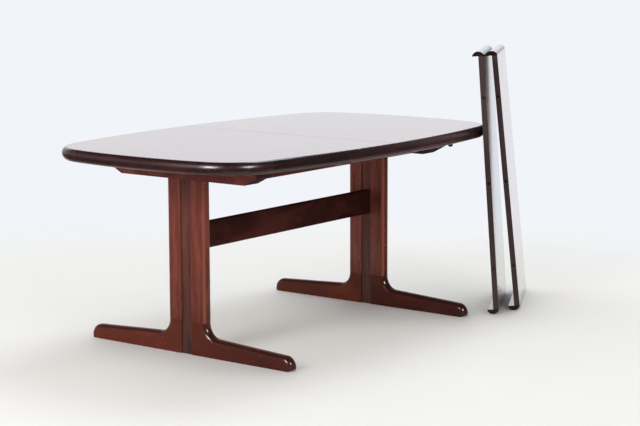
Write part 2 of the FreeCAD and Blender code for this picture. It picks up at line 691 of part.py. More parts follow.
def near_bearer():
    """Cross bar with bevelled ends, on the near posts."""
    bevel_top = BEARER_TOP - BEARER_END_HEIGHT
    rise = bevel_top - BEARER_BOTTOM
    reach = BEARER_HALF_LENGTH + rise / math.tan(math.radians(BEARER_BEVEL_DEGREES))
    x = -PEDESTAL_X - BEARER_WIDTH / 2
    outline = [
        V(x, -BEARER_HALF_LENGTH, BEARER_BOTTOM),
        V(x, BEARER_HALF_LENGTH, BEARER_BOTTOM),
        V(x, reach, bevel_top),
        V(x, reach, BEARER_TOP),
        V(x, -reach, BEARER_TOP),
        V(x, -reach, bevel_top),
    ]
    bar = prism(outline, V(BEARER_WIDTH, 0, 0))

    def is_lower(edge):
        return edge.BoundBox.XLength < EQUAL and edge.CenterOfMass.z < bevel_top - EQUAL

    bar = bar.makeFillet(BEARER_EDGE_RADIUS, [edge for edge in bar.Edges if is_lower(edge)])
    return cut_all(bar, mirrored(bearer_screw_holes()) + mirrored(rail_screw_holes()))


def left_rail():
    """Guide rail with a groove along each side, hanging down between the bearers."""
    half = RAIL_WIDTH / 2
    y0, y1 = RAIL_CENTRE - half, RAIL_CENTRE + half
    rail = box(-RAIL_HALF_LENGTH, RAIL_HALF_LENGTH, y0, y1, BEARER_TOP, RAIL_TOP)
    drop = box(-BEARER_INNER_FACE, BEARER_INNER_FACE, y0, y1, BEARER_TOP - RAIL_DROP, BEARER_TOP)
    rail = rail.fuse(drop).removeSplitter()
    for side in (-1, 1):
        face = RAIL_CENTRE + side * half
        y0, y1 = sorted((face - side * GROOVE_DEPTH, face + side * OVERRUN))
        rail = rail.cut(box(-FAR, FAR, y0, y1, GROOVE_BOTTOM, GROOVE_BOTTOM + GROOVE_HEIGHT))
    holes = rail_screw_holes()
    return cut_all(rail, holes + [h.mirror(ORIGIN, X_AXIS) for h in holes])


STRETCHER_END = PEDESTAL_X - CORE_THICKNESS / 2


def near_stretcher_dowels():
    """Dowels between the near core board and the stretcher's end."""
    middle = STRETCHER_BOTTOM + STRETCHER_HEIGHT / 2
    length = STRETCHER_DOWEL_SEAT + STRETCHER_DOWEL_REACH
    start = -STRETCHER_END - STRETCHER_DOWEL_REACH
    return [Part.makeCylinder(STRETCHER_DOWEL_RADIUS, length,
                              V(start, 0, middle + side * STRETCHER_DOWEL_SPACING / 2), X_AXIS)
            for side in (-1, 1)]


def stretcher():
    """Board on edge between the two core boards."""
    half = STRETCHER_THICKNESS / 2
    top = STRETCHER_BOTTOM + STRETCHER_HEIGHT
    board = box(-STRETCHER_END, STRETCHER_END, -half, half, STRETCHER_BOTTOM, top)
    board = board.makeFillet(STRETCHER_EDGE_RADIUS, long_edges(board, X_AXIS, lambda p: True))
    dowels = near_stretcher_dowels()
    return cut_all(board, dowels + [d.mirror(ORIGIN, X_AXIS) for d in dowels])


def near_core():
    """Recessed board between the near posts."""
    half = CORE_WIDTH / 2
    outer = -PEDESTAL_X - CORE_THICKNESS / 2
    board = box(outer, outer + CORE_THICKNESS, -half, half, 0, BEARER_BOTTOM)
    return cut_all(board, near_stretcher_dowels())


def base(parts):
    """All nodes that stand still."""
    leg = near_left_leg()
    lower = box(-FAR, FAR, -FAR, FAR, -OVERRUN, HEEL_HEIGHT)
    holes = leg_dowels() + bearer_screw_holes()
    foot = cut_all(leg.common(lower), holes)
    post = cut_all(leg.cut(lower), holes)
    quarters = ("near_left", "near_right", "far_left", "far_right")
    for name, shape in zip(quarters, all_quarters([foot])):
        parts[name + "_foot"] = shape
    for name, shape in zip(quarters, all_quarters([post])):
        parts[name + "_post"] = shape
    core = near_core()
    parts["near_core_board"] = core
    parts["far_core_board"] = core.mirror(ORIGIN, X_AXIS)
    bearer = near_bearer()
    parts["near_bearer"] = bearer
    parts["far_bearer"] = bearer.mirror(ORIGIN, X_AXIS)
    rail = left_rail()
    parts["left_guide_rail"] = rail
    parts["right_guide_rail"] = rail.mirror(ORIGIN, Y_AXIS)
    parts["stretcher"] = stretcher()
    dowels = near_stretcher_dowels()
    parts["stretcher_dowels"] = Part.makeCompound(dowels + [d.mirror(ORIGIN, X_AXIS) for d in dowels])
    parts["leg_dowels"] = Part.makeCompound(all_quarters(leg_dowels()))
    parts["bearer_screws"] = Part.makeCompound(all_quarters(bearer_screws()))
    parts["rail_screws"] = Part.makeCompound(all_quarters(rail_screws()))


# Leaves, built lying as in use with the top face at level 0, then stood up

def leaf_pieces():
    """Panel, two end rims and dowels of one leaf, its width along X and its length along Y."""
    half_width = LEAF_WIDTH / 2
    half_length = TOP_WIDTH / 2
    inner = half_length - RIM_WIDTH
    middle = -PANEL_THICKNESS / 2
    panel = box(-half_width, half_width, -inner, inner, -PANEL_THICKNESS, 0)
    edge_holes = [dowel_seat(half_width, y, middle) for y in edge_dowel_places()]
    edge_holes += [dowel_socket(-half_width, y, middle) for y in edge_dowel_places()]

    def spot(inset, drop):
        return V(-half_width, inset - half_length, -drop)

    rim = rim_profile(spot).extrude(V(LEAF_WIDTH, 0, 0))
    dowels = Part.makeCompound([edge_dowel(half_width, y, middle) for y in edge_dowel_places()])
    return {
        "panel": cut_all(panel, edge_holes),
        "floor_rim": rim,
        "upper_rim": rim.mirror(ORIGIN, Y_AXIS),
        "dowels": dowels,
    }


def floor_lift(lean):
    """How far a leaning leaf's top-face edge is above the floor when its bowed rim rests on it."""
    return RIM_FACE_RADIUS * (1 - math.cos(lean)) + RIM_DEPTH / 2 * math.sin(lean)


def leaf_one_along(turn):
    """Where leaf one's front edge stands along its width, a lead before the corner that it leans on."""
    return CORNER.x * math.cos(turn) - CORNER.y * math.sin(turn) - LEAF_ONE_LEAD


def leaf_one_across(turn, lean):
    """Where leaf one's top-face edge stands for its panel to lean on the corner's rim."""
    corner = -CORNER.x * math.sin(turn) - CORNER.y * math.cos(turn)
    corner -= CORNER_RADIUS - RIM_FACE_RADIUS
    level = TOP_HEIGHT - RIM_DEPTH / 2
    touch = corner * math.cos(lean) - level * math.sin(lean) - RIM_FACE_RADIUS
    reach = PANEL_THICKNESS + LEAN_CLEARANCE - floor_lift(lean) * math.sin(lean)
    return (touch - reach) / math.cos(lean)


def leaf_two_across(across_one, lean_one, lean_two):
    """Where leaf two's top-face edge stands for its upper rim to lean on leaf one's top face."""
    more = lean_two - lean_one
    radius = RIM_LIP_RADIUS
    bulge = (TOP_WIDTH - RIM_LIP_INSET) * math.sin(more) + (RIM_DEPTH - radius) * math.cos(more) + radius
    face = across_one * math.cos(lean_one) - floor_lift(lean_one) * math.sin(lean_one)
    reach = bulge + LEAN_CLEARANCE - floor_lift(lean_two) * math.sin(lean_one)
    return (face - reach) / math.cos(lean_one)


def stood_up(shape, turn, lean, along, across):
    """Copy of a lying leaf's piece stood on its end: leaning, turned, and put in its place."""
    copy = shape.copy()
    copy.translate(V(LEAF_WIDTH / 2, TOP_WIDTH / 2, 0))
    copy.rotate(ORIGIN, X_AXIS, QUARTER_TURN_DEGREES - math.degrees(lean))
    copy.translate(V(along, across, floor_lift(lean)))
    copy.rotate(ORIGIN, Z_AXIS, math.degrees(turn))
    return copy


def leaves(parts):
    """Both leaves, leaning on the far right corner."""
    turn = math.radians(LEAF_TURN_DEGREES)
    lean_one = math.radians(LEAF_ONE_LEAN_DEGREES)
    lean_two = math.radians(LEAF_TWO_LEAN_DEGREES)
    across_one = leaf_one_across(turn, lean_one)
    across_two = leaf_two_across(across_one, lean_one, lean_two)
    along_one = leaf_one_along(turn)
    along_two = along_one + LEAF_TWO_STEP
    for name, shape in leaf_pieces().items():
        parts["leaf_one_" + name] = stood_up(shape, turn, lean_one, along_one, across_one)
        parts["leaf_two_" + name] = stood_up(shape, turn, lean_two, along_two, across_two)


def build():
    """Every node of the table by name."""
    parts = {}
    base(parts)
    half_top("near", parts)
    half_top("far", parts)
    leaves(parts)
    return parts


os.makedirs("parts", exist_ok=True)
for node, solid in build().items():
    solid.exportStep("parts/" + node + ".step")
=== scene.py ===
import math

import bpy
from mathutils import Matrix, Vector

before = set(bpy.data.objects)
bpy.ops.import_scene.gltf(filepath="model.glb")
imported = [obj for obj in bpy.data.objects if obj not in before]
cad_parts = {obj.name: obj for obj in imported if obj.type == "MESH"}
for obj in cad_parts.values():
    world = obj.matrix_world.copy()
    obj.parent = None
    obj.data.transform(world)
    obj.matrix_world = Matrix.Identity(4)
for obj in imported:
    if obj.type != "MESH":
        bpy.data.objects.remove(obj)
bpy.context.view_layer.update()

# Looks of a pull-apart dining table: dark red lacquered wood on a pale studio floor.
# Metres, in the frame of the solids: +X along the table, +Y to its left side, +Z up.

# Camera
CAMERA_PLACE = Vector((-5.1403, -4.0212, 1.4423))
CAMERA_YAW_DEGREES = 36.850
CAMERA_PITCH_DEGREES = 8.495
CAMERA_ROLL_DEGREES = -0.147
CAMERA_LENS_MM = 100.13
CAMERA_SENSOR_MM = 36.0
CAMERA_SHIFT = (-0.0017, -0.0166)

# Studio: a pale paper sweep behind and under the table, dark surroundings elsewhere
BACKGROUND = (0.88, 0.905, 0.945, 1)
FLOOR_COLOUR = (0.917, 0.912, 0.898, 1)
FLOOR_CLOUD_SCALE = (2.0, 2.0, 2.0)
FLOOR_CLOUD_TONE = 0.97
FLOOR_ROUGHNESS = 0.7
FLOOR_SHINE = 0.2
FLOOR_HALF_SIZE = 40.0
FLOOR_FADE_START = 1.5
FLOOR_FADE_END = 3.0
PAPER_HALF_WIDTH = 0.8
PAPER_WIDENING = 0.6
PAPER_EDGE = 0.6
DARK_STRENGTH = 0.06
FILL_COLOUR = (1.0, 0.975, 0.94, 1)
FILL_STRENGTH = 0.45
GLOW_STRENGTH = 4.7
GLOW_LEVELS = (0.2, 0.45)
GLOW_SPREAD = (-0.5, 0.4)
BACKDROP_SPREAD = (0.35, 0.85)
BACKDROP_LEVELS = (0.36, 0.58)
LEFT_WALL_SPREAD = (0.4, 0.9)
LEFT_WALL_STRENGTH = 0.6

# Softboxes: size, distance from the table, azimuth and elevation in degrees, watts, colour
WHITE = (1.0, 1.0, 1.0)
COOL_WHITE = (0.80, 0.91, 1.0)
OVERHEAD_SOFTBOX = (2.4, 6.0, 10.0, 62.0, 96.0, COOL_WHITE)
LEFT_SOFTBOX = (2.8, 8.0, 178.0, 24.0, 200.0, WHITE)
RIGHT_SOFTBOX = (2.4, 8.0, -108.0, 26.0, 80.0, WHITE)
LEFT_GLINT = (2.6, 7.5, 178.0, 24.0, 700.0, WHITE)
RIGHT_GLINT = (2.0, 7.5, -108.0, 26.0, 420.0, WHITE)
SOFTBOX_AIM = Vector((0.0, 0.0, 0.5))

# Turns that lay each piece's grain along X
ALONG_X = (0, 0, 0)
ALONG_Y = (0, 0, -math.pi / 2)
ALONG_Z = (0, math.pi / 2, 0)
DIAGONAL_LEFT = (0, 0, -math.pi / 4)
DIAGONAL_RIGHT = (0, 0, math.pi / 4)
LEAF_TURN_ANGLE = math.radians(27.1)
LEAF_TURN = (math.pi / 2, LEAF_TURN_ANGLE, 0)

# Where polished faces look, and how squarely a face has to look there to count
UPWARDS = (0, 0, 1)
RIGHTWARDS = (0, -1, 0)
TO_NEAR_END = (-1, 0, 0)
LEAF_FACING = (math.sin(LEAF_TURN_ANGLE), -math.cos(LEAF_TURN_ANGLE), 0)
POLISHED_LEVELS = (0.6, 0.95)

# Figure of the lacquered woods. Scales are per metre along and across the grain, levels are where a noise
# starts and ends to show, and parts are how much each layer counts.
PIECE_SHIFT = (37.0, 11.0, 23.0)
SWAY_SCALE = (1.6, 9.0, 9.0)
RING_STRETCH = (0.25, 1.0, 0.45)
RING_SCALE = 9.0
RING_DISTORTION = 9.0
RING_PART = 0.55
FIBRE_SCALE = (9.0, 420.0, 420.0)
FIBRE_PART = 0.45
FIBRE_RELIEF = 0.35
BROAD_SCALE = (0.9, 5.0, 5.0)
BROAD_PART = 0.9
TONE_LEVELS = (0.15, 0.95)
STREAK_RING_PART = 0.25
STREAK_LEVELS = (0.66, 0.86)
STREAK_PART = 0.75
PORE_SCALE = (55.0, 1150.0, 1150.0)
PORE_LEVELS = (0.60, 0.70)
PORE_PART = 0.55
RELIEF_DEPTH = 0.0004

# Edges (where painted light and shade and extra gloss go on rounded edges), wear and gloss of the lacquered
# woods
EDGE_LEVELS = (0.02, 0.25)
EDGE_WAY_LEVELS = (0.0, 0.5)
RUB_SCALE = (18.0, 60.0, 60.0)
RUB_LEVELS = (0.62, 0.72)
RUB_EDGE_LEVELS = (0.26, 0.29)
RUB_PART = 0.3
SPECK_SCALE = (160.0, 160.0, 160.0)
SPECK_LEVELS = (0.81, 0.84)
SPECK_PART = 0.8
GLOSS_SCALE = (7.0, 16.0, 16.0)
GLOSS_CHANGE = 0.2
BARE_ROUGHNESS = 0.95
COAT_ROUGHNESS = 0.09

# Unfinished hidden woods
PLAIN_BROAD_SCALE = (1.2, 30.0, 30.0)
PLAIN_BROAD_PART = 0.6
PLAIN_FIBRE_SCALE = (14.0, 600.0, 600.0)
PLAIN_FIBRE_PART = 0.4
PLAIN_TONE_LEVELS = (0.3, 0.7)
PLAIN_ROUGHNESS = (0.5, 0.7)
PLAIN_RELIEF = {"Strength": 0.2, "Distance": 0.0003}
RUNNER_LIGHT = (0.46, 0.31, 0.18, 1)
RUNNER_DARK = (0.36, 0.22, 0.12, 1)
DOWEL_LIGHT = (0.62, 0.47, 0.30, 1)
DOWEL_DARK = (0.52, 0.37, 0.22, 1)

# Steel and plastic
STEEL_GREY = (0.50, 0.50, 0.52, 1)
STEEL_PATCH = (0.62, 0.62, 0.60, 1)
STEEL_MARK_SCALE = (60.0, 900.0, 900.0)
STEEL_PATCH_SCALE = (70.0, 70.0, 70.0)
STEEL_PATCH_LEVELS = (0.35, 0.7)
STEEL_ROUGHNESS = (0.28, 0.45)
STEEL_RELIEF = {"Strength": 0.08, "Distance": 0.0002}
PLASTIC_BLACK = (0.012, 0.011, 0.011, 1)
PLASTIC_RUBBED = (0.03, 0.026, 0.025, 1)
PLASTIC_GRAIN_SCALE = (900.0, 900.0, 900.0)
PLASTIC_RUB_SCALE = (120.0, 120.0, 120.0)
PLASTIC_RUB_LEVELS = (0.4, 0.7)
PLASTIC_ROUGHNESS = (0.3, 0.5)
PLASTIC_RELIEF = {"Strength": 0.15, "Distance": 0.0002}

# Painted shade along a piece, standing in for how light falls on it: axis of the frame, place of the full
# shade, place where it ends
PAINTED_SHADE_TO_THE_RIGHT = ("Y", -0.42, 0.30)
PAINTED_SHADE_DOWNWARDS = ("Z", 0.05, 0.62)
PAINTED_SHADE_TO_THE_HEEL = ("Z", 0.09, 0.20)


class Shader:
    """One material's node tree, with short ways to add nodes and to join them."""

    def __init__(self, name):
        self.material = bpy.data.materials.new(name)
        self.material.use_nodes = True
        self.tree = self.material.node_tree
        self.surface = self.tree.nodes["Principled BSDF"]

    def feed(self, socket, value):
        """Give an input a fixed value, or join another node's output to it."""
        if isinstance(value, bpy.types.NodeSocket):
            self.tree.links.new(value, socket)
        else:
            socket.default_value = value

    def add(self, kind, inputs=None, **settings):
        """A new node with its settings and inputs."""
        node = self.tree.nodes.new("ShaderNode" + kind)
        for key, value in settings.items():
            setattr(node, key, value)
        for key, value in (inputs or {}).items():
            self.feed(node.inputs[key], value)
        return node

    def set(self, **inputs):
        """Inputs of the surface shader, with _ for each space in their names."""
        for key, value in inputs.items():
            self.feed(self.surface.inputs[key.replace("_", " ")], value)

    def math(self, operation, first, second=0.0):
        """Result of one sum."""
        return self.add("Math", {0: first, 1: second}, operation=operation).outputs[0]

    def step(self, value, low, high):
        """0 below low, 1 above high, smooth between them."""
        inputs = {"Value": value, "From Min": low, "From Max": high}
        return self.add("MapRange", inputs, interpolation_type="SMOOTHSTEP").outputs["Result"]

    def spread(self, value, low, high):
        """A value from 0 to 1 spread between two others."""
        return self.add("MapRange", {"Value": value, "To Min": low, "To Max": high}).outputs["Result"]

    def blend(self, share, first, second, mode="MIX"):
        """Two colours mixed."""
        node = self.add("Mix", {0: share, 6: first, 7: second}, data_type="RGBA", blend_type=mode)
        return node.outputs[2]

    def stretched(self, vector, scale):
        """Coordinates with each axis scaled."""
        return self.add("Mapping", {"Vector": vector, "Scale": scale}).outputs["Vector"]

    def noise(self, vector, scale, detail=3.0, roughness=0.55):
        """Soft noise over stretched coordinates."""
        inputs = {"Vector": self.stretched(vector, scale), "Scale": 1.0, "Detail": detail,
                  "Roughness": roughness}
        return self.add("TexNoise", inputs).outputs["Fac"]

    def bump(self, height, relief):
        """Normal of a surface with fine relief, from its heights, strength and depth."""
        return self.add("Bump", {"Height": height, **relief}).outputs["Normal"]


def grain_place(shader, turn):
    """Place in the piece's own frame with the grain along X, shifted so that no two pieces match."""
    own = shader.add("TexCoord").outputs["Object"]
    laid = shader.add("Mapping", {"Vector": own, "Rotation": turn}).outputs["Vector"]
    luck = shader.add("ObjectInfo").outputs["Random"]
    moves = {axis: shader.math("MULTIPLY", luck, most) for axis, most in enumerate(PIECE_SHIFT)}
    shift = shader.add("CombineXYZ", moves).outputs[0]
    return shader.add("VectorMath", {0: laid, 1: shift}, operation="ADD").outputs[0]


def edge_share(shader, low, high):
    """1 on rounded edges and 0 on flat faces, read from the piece's own normal."""
    normal = shader.add("TexCoord").outputs["Normal"]
    parts = shader.add("SeparateXYZ", {0: normal})
    x, y, z = (shader.math("ABSOLUTE", parts.outputs[k]) for k in range(3))
    largest = shader.math("MAXIMUM", shader.math("MAXIMUM", x, y), z)
    return shader.step(shader.math("SUBTRACT", 1.0, largest), low, high)


def facing_share(shader, way, low=POLISHED_LEVELS[0], high=POLISHED_LEVELS[1]):
    """1 on faces that look a given way and 0 on the others, read from the piece's own normal."""
    normal = shader.add("TexCoord").outputs["Normal"]
    towards = shader.add("VectorMath", {0: normal, 1: way}, operation="DOT_PRODUCT").outputs["Value"]
    return shader.step(towards, low, high)


def shaded_share(shader, axis, low, high):
    """1 below one place on an axis of the frame and 0 above another."""
    own = shader.add("TexCoord").outputs["Object"]
    along = shader.add("SeparateXYZ", {0: own}).outputs[axis]
    return shader.math("SUBTRACT", 1.0, shader.step(along, low, high))


def figure(shader, place, light, dark, streak):
    """Colour of the wood from rings, broad tones, streaks and pores; also its fibres and pores alone."""
    sway = shader.noise(place, SWAY_SCALE, detail=2.0)
    rings = shader.add("TexWave", {
        "Vector": shader.stretched(place, RING_STRETCH), "Scale": RING_SCALE, "Distortion": RING_DISTORTION,
        "Detail": 3.0, "Detail Scale": 1.3, "Detail Roughness": 0.6,
    }, wave_type="BANDS", bands_direction="Y", wave_profile="SIN").outputs["Fac"]
    fibres = shader.noise(place, FIBRE_SCALE, detail=2.0, roughness=0.6)
    broad = shader.math("SUBTRACT", shader.noise(place, BROAD_SCALE, detail=3.0), 0.5)
    pores = shader.step(shader.noise(place, PORE_SCALE, detail=1.0), *PORE_LEVELS)

    tone = shader.math("MULTIPLY", rings, RING_PART)
    tone = shader.math("ADD", tone, shader.math("MULTIPLY", fibres, FIBRE_PART))
    tone = shader.math("ADD", tone, shader.math("MULTIPLY", broad, BROAD_PART))
    colour = shader.blend(shader.step(tone, *TONE_LEVELS), dark, light)
    swayed = shader.math("ADD", sway, shader.math("MULTIPLY", rings, STREAK_RING_PART))
    streaks = shader.step(swayed, *STREAK_LEVELS)
    colour = shader.blend(shader.math("MULTIPLY", streaks, STREAK_PART), colour, streak)
    colour = shader.blend(shader.math("MULTIPLY", pores, PORE_PART), colour, streak)
    return colour, fibres, pores


def worn(shader, place, colour, wear):
    """A colour with rubbed edges and pale specks over it."""
    broken = shader.step(shader.noise(place, RUB_SCALE, detail=3.0), *RUB_LEVELS)
    rubbed = shader.math("MULTIPLY", edge_share(shader, *RUB_EDGE_LEVELS), broken)
    colour = shader.blend(shader.math("MULTIPLY", rubbed, RUB_PART), colour, wear)
    specks = shader.step(shader.noise(place, SPECK_SCALE, detail=0.0), *SPECK_LEVELS)
    return shader.blend(shader.math("MULTIPLY", specks, SPECK_PART), colour, wear)


def wood(name, turn, light, dark, streak, roughness, shine, coat, facing=UPWARDS, wear=None, bare=None,
         painted_edge_shading=None, painted_edge_part=0.0, edge_coat=0.0, painted_edge_way=None, painted_shades=(), pore_depth=0.12):
    """Lacquered wood: figure, painted shade along the piece, rounded edges tinted with painted light and
    shade, worn edges, a polished side, bare others.
    """
    shader = Shader(name)
    place = grain_place(shader, turn)
    colour, fibres, pores = figure(shader, place, light, dark, streak)
    varnish = shader.spread(facing_share(shader, facing), *coat)
    # Painted shade: each tint darkens the colour towards one end of the piece, standing in for light and
    # shade
    for tint, axis, low, high in painted_shades:
        shaded = shader.blend(1.0, colour, tint, "MULTIPLY")
        colour = shader.blend(shaded_share(shader, axis, low, high), colour, shaded)
    # Painted light and shade on rounded edges: a pale tint on right-facing post edges, a dark one on the
    # feet's edges
    if painted_edge_shading:
        rounded = edge_share(shader, *EDGE_LEVELS)
        tinted = shader.math("MULTIPLY", rounded, painted_edge_part)
        if painted_edge_way:
            tinted = shader.math("MULTIPLY", tinted, facing_share(shader, painted_edge_way, *EDGE_WAY_LEVELS))
        colour = shader.blend(tinted, colour, painted_edge_shading)
        varnish = shader.spread(rounded, coat[0], edge_coat)
    if wear:
        colour = worn(shader, place, colour, wear)
    uneven = shader.noise(place, GLOSS_SCALE, detail=3.0)
    gloss = shader.spread(uneven, roughness * (1 - GLOSS_CHANGE), roughness * (1 + GLOSS_CHANGE))
    if bare:
        polished = facing_share(shader, facing)
        colour = shader.blend(polished, shader.blend(fibres, bare, streak), colour)
        gloss = shader.spread(polished, BARE_ROUGHNESS, gloss)
    height = shader.math("SUBTRACT", shader.math("MULTIPLY", fibres, FIBRE_RELIEF), pores)
    bump = shader.bump(height, {"Strength": pore_depth, "Distance": RELIEF_DEPTH})
    shader.set(Base_Color=colour, Roughness=gloss, Normal=bump, Specular_IOR_Level=shine,
               Coat_Weight=varnish, Coat_Roughness=COAT_ROUGHNESS)
    return shader.material


def plain_wood(name, turn, light, dark):
    """Unfinished hardwood for hidden runners and dowels."""
    shader = Shader(name)
    place = grain_place(shader, turn)
    broad = shader.noise(place, PLAIN_BROAD_SCALE)
    fibres = shader.noise(place, PLAIN_FIBRE_SCALE, detail=2.0)
    tone = shader.math("MULTIPLY", broad, PLAIN_BROAD_PART)
    tone = shader.math("ADD", tone, shader.math("MULTIPLY", fibres, PLAIN_FIBRE_PART))
    colour = shader.blend(shader.step(tone, *PLAIN_TONE_LEVELS), dark, light)
    bump = shader.bump(fibres, PLAIN_RELIEF)
    shader.set(Base_Color=colour, Roughness=shader.spread(broad, *PLAIN_ROUGHNESS), Normal=bump)
    return shader.material


def steel():
    """Zinc-plated steel with faint rolling marks and paler patches."""
    shader = Shader("zinc_steel")
    place = grain_place(shader, ALONG_X)
    marks = shader.noise(place, STEEL_MARK_SCALE, detail=2.0)
    patches = shader.noise(place, STEEL_PATCH_SCALE)
    colour = shader.blend(shader.step(patches, *STEEL_PATCH_LEVELS), STEEL_GREY, STEEL_PATCH)
    bump = shader.bump(marks, STEEL_RELIEF)
    gloss = shader.spread(marks, *STEEL_ROUGHNESS)
    shader.set(Base_Color=colour, Roughness=gloss, Normal=bump, Metallic=1.0)
    return shader.material


def black_plastic():
    """Moulded knob: near black, finely textured, with patches rubbed a little paler."""
    shader = Shader("black_plastic")
    place = grain_place(shader, ALONG_X)
    fine = shader.noise(place, PLASTIC_GRAIN_SCALE, detail=1.0)
    rubbed = shader.noise(place, PLASTIC_RUB_SCALE)
    colour = shader.blend(shader.step(rubbed, *PLASTIC_RUB_LEVELS), PLASTIC_BLACK, PLASTIC_RUBBED)
    bump = shader.bump(fine, PLASTIC_RELIEF)
    shader.set(Base_Color=colour, Roughness=shader.spread(rubbed, *PLASTIC_ROUGHNESS), Normal=bump)
    return shader.material


# Woods of the pieces
LEG = {"light": (0.200, 0.049, 0.032, 1), "dark": (0.104, 0.023, 0.016, 1),
       "streak": (0.040, 0.010, 0.007, 1), "roughness": 0.38, "shine": 0.12, "coat": (0.2, 0.2),
       "wear": (0.42, 0.19, 0.10, 1)}
# Post colours carry painted light and shade: lighter up under the top, darker towards the floor and the
# heel, and a pale orange painted light on edges that face right
POST = {**LEG, "light": (0.242, 0.060, 0.041, 1), "dark": (0.156, 0.036, 0.026, 1),
        "streak": (0.082, 0.019, 0.014, 1),
        "painted_edge_shading": (0.370, 0.108, 0.054, 1), "painted_edge_part": 0.5, "edge_coat": 0.15, "painted_edge_way": RIGHTWARDS,
        "painted_shades": (((0.75, 0.74, 0.73, 1), *PAINTED_SHADE_DOWNWARDS), ((0.68, 0.60, 0.52, 1), *PAINTED_SHADE_TO_THE_HEEL))}
# Far posts: a lighter copy of the post wood, painted light for the light they miss under the top, with
# brighter painted light on right-facing edges
FAR_POST_PAINTED_LIGHT = {**POST, "light": (0.264, 0.069, 0.049, 1), "dark": (0.170, 0.041, 0.031, 1),
            "painted_edge_shading": (0.450, 0.125, 0.050, 1), "painted_edge_part": 0.65}
# Feet: painted shade that darkens them towards the right, and dark painted shade on their rounded edges
FOOT = {**LEG, "light": (0.212, 0.040, 0.016, 1), "dark": (0.113, 0.019, 0.009, 1),
        "streak": (0.082, 0.016, 0.008, 1), "painted_shades": (((0.54, 0.54, 0.58, 1), *PAINTED_SHADE_TO_THE_RIGHT),),
        "shine": 0.08, "coat": (0.12, 0.12),
        "painted_edge_shading": (0.035, 0.009, 0.008, 1), "painted_edge_part": 0.8, "edge_coat": 0.65}
# Far feet: a darker copy of the foot wood, painted shade for the table's shadow
FAR_FOOT_PAINTED_SHADE = {**FOOT, "light": (0.150, 0.029, 0.012, 1), "dark": (0.080, 0.014, 0.007, 1), "wear": None}
BEARER = {**LEG, "light": (0.265, 0.063, 0.044, 1), "dark": (0.138, 0.029, 0.022, 1), "coat": (0.0, 0.2),
          "facing": TO_NEAR_END, "bare": (0.050, 0.030, 0.028, 1)}
# Far bearer: a darker copy of the bearer wood, painted shade under the top
FAR_BEARER_PAINTED_SHADE = {**BEARER, "light": (0.085, 0.030, 0.028, 1), "dark": (0.050, 0.018, 0.016, 1),
              "bare": (0.030, 0.018, 0.018, 1)}
# Core boards carry painted shade: darker towards the floor, lighter up under the top
CORE = {"light": (0.178, 0.055, 0.042, 1), "dark": (0.119, 0.035, 0.026, 1),
        "streak": (0.045, 0.015, 0.012, 1), "roughness": 0.38, "shine": 0.15, "coat": (0.2, 0.2),
        "wear": (0.30, 0.16, 0.10, 1), "painted_shades": (((0.56, 0.53, 0.51, 1), *PAINTED_SHADE_DOWNWARDS),)}
STRETCHER = {"light": (0.068, 0.0185, 0.014, 1), "dark": (0.033, 0.0095, 0.0075, 1),
             "streak": (0.016, 0.005, 0.004, 1), "roughness": 0.38, "shine": 0.0, "coat": (0.4, 0.0)}
RIM = {"light": (0.055, 0.0135, 0.0135, 1), "dark": (0.030, 0.008, 0.0085, 1),
       "streak": (0.012, 0.005, 0.005, 1), "roughness": 0.28, "shine": 0.4, "coat": (0.0, 1.0)}
LEAF_RIM = {"light": (0.036, 0.012, 0.011, 1), "dark": (0.018, 0.007, 0.007, 1),
            "streak": (0.010, 0.005, 0.005, 1), "roughness": 0.14, "shine": 0.15, "coat": (0.1, 1.0)}
VENEER = {"light": (0.320, 0.066, 0.044, 1), "dark": (0.190, 0.035, 0.024, 1),
          "streak": (0.030, 0.009, 0.007, 1), "roughness": 0.10, "shine": 0.5, "coat": (0.0, 0.89),
          "bare": (0.051, 0.026, 0.026, 1), "pore_depth": 0.03}
LEAF_VENEER = {**VENEER, "light": (0.270, 0.058, 0.039, 1), "dark": (0.165, 0.032, 0.022, 1),
               "coat": (0.0, 0.82), "bare": (0.050, 0.021, 0.022, 1)}

post_wood = wood("post_wood", ALONG_Z, **POST)
far_post_wood_painted_light = wood("far_post_wood_painted_light", ALONG_Z, **FAR_POST_PAINTED_LIGHT)
foot_wood = wood("foot_wood", ALONG_Y, **FOOT)
far_foot_wood_painted_shade = wood("far_foot_wood_painted_shade", ALONG_Y, **FAR_FOOT_PAINTED_SHADE)
bearer_wood = wood("bearer_wood", ALONG_Y, **BEARER)
far_bearer_wood_painted_shade = wood("far_bearer_wood_painted_shade", ALONG_Y, **FAR_BEARER_PAINTED_SHADE)
rail_wood = wood("rail_wood", ALONG_X, **LEG)
core_wood = wood("core_wood", ALONG_Z, **CORE)
stretcher_wood = wood("stretcher_wood", ALONG_X, **STRETCHER)
rim_along_x = wood("rim_wood_along_x", ALONG_X, **RIM)
rim_along_y = wood("rim_wood_along_y", ALONG_Y, **RIM)
rim_left = wood("rim_wood_left", DIAGONAL_LEFT, **RIM)
rim_right = wood("rim_wood_right", DIAGONAL_RIGHT, **RIM)
rim_leaf = wood("rim_wood_leaf", LEAF_TURN, **LEAF_RIM)
veneer_top = wood("top_veneer", ALONG_X, **VENEER)
veneer_leaf = wood("leaf_veneer", LEAF_TURN, facing=LEAF_FACING, **LEAF_VENEER)
runner_wood = plain_wood("runner_wood", ALONG_X, RUNNER_LIGHT, RUNNER_DARK)
dowel_wood = plain_wood("dowel_wood", ALONG_X, DOWEL_LIGHT, DOWEL_DARK)
zinc = steel()
plastic = black_plastic()


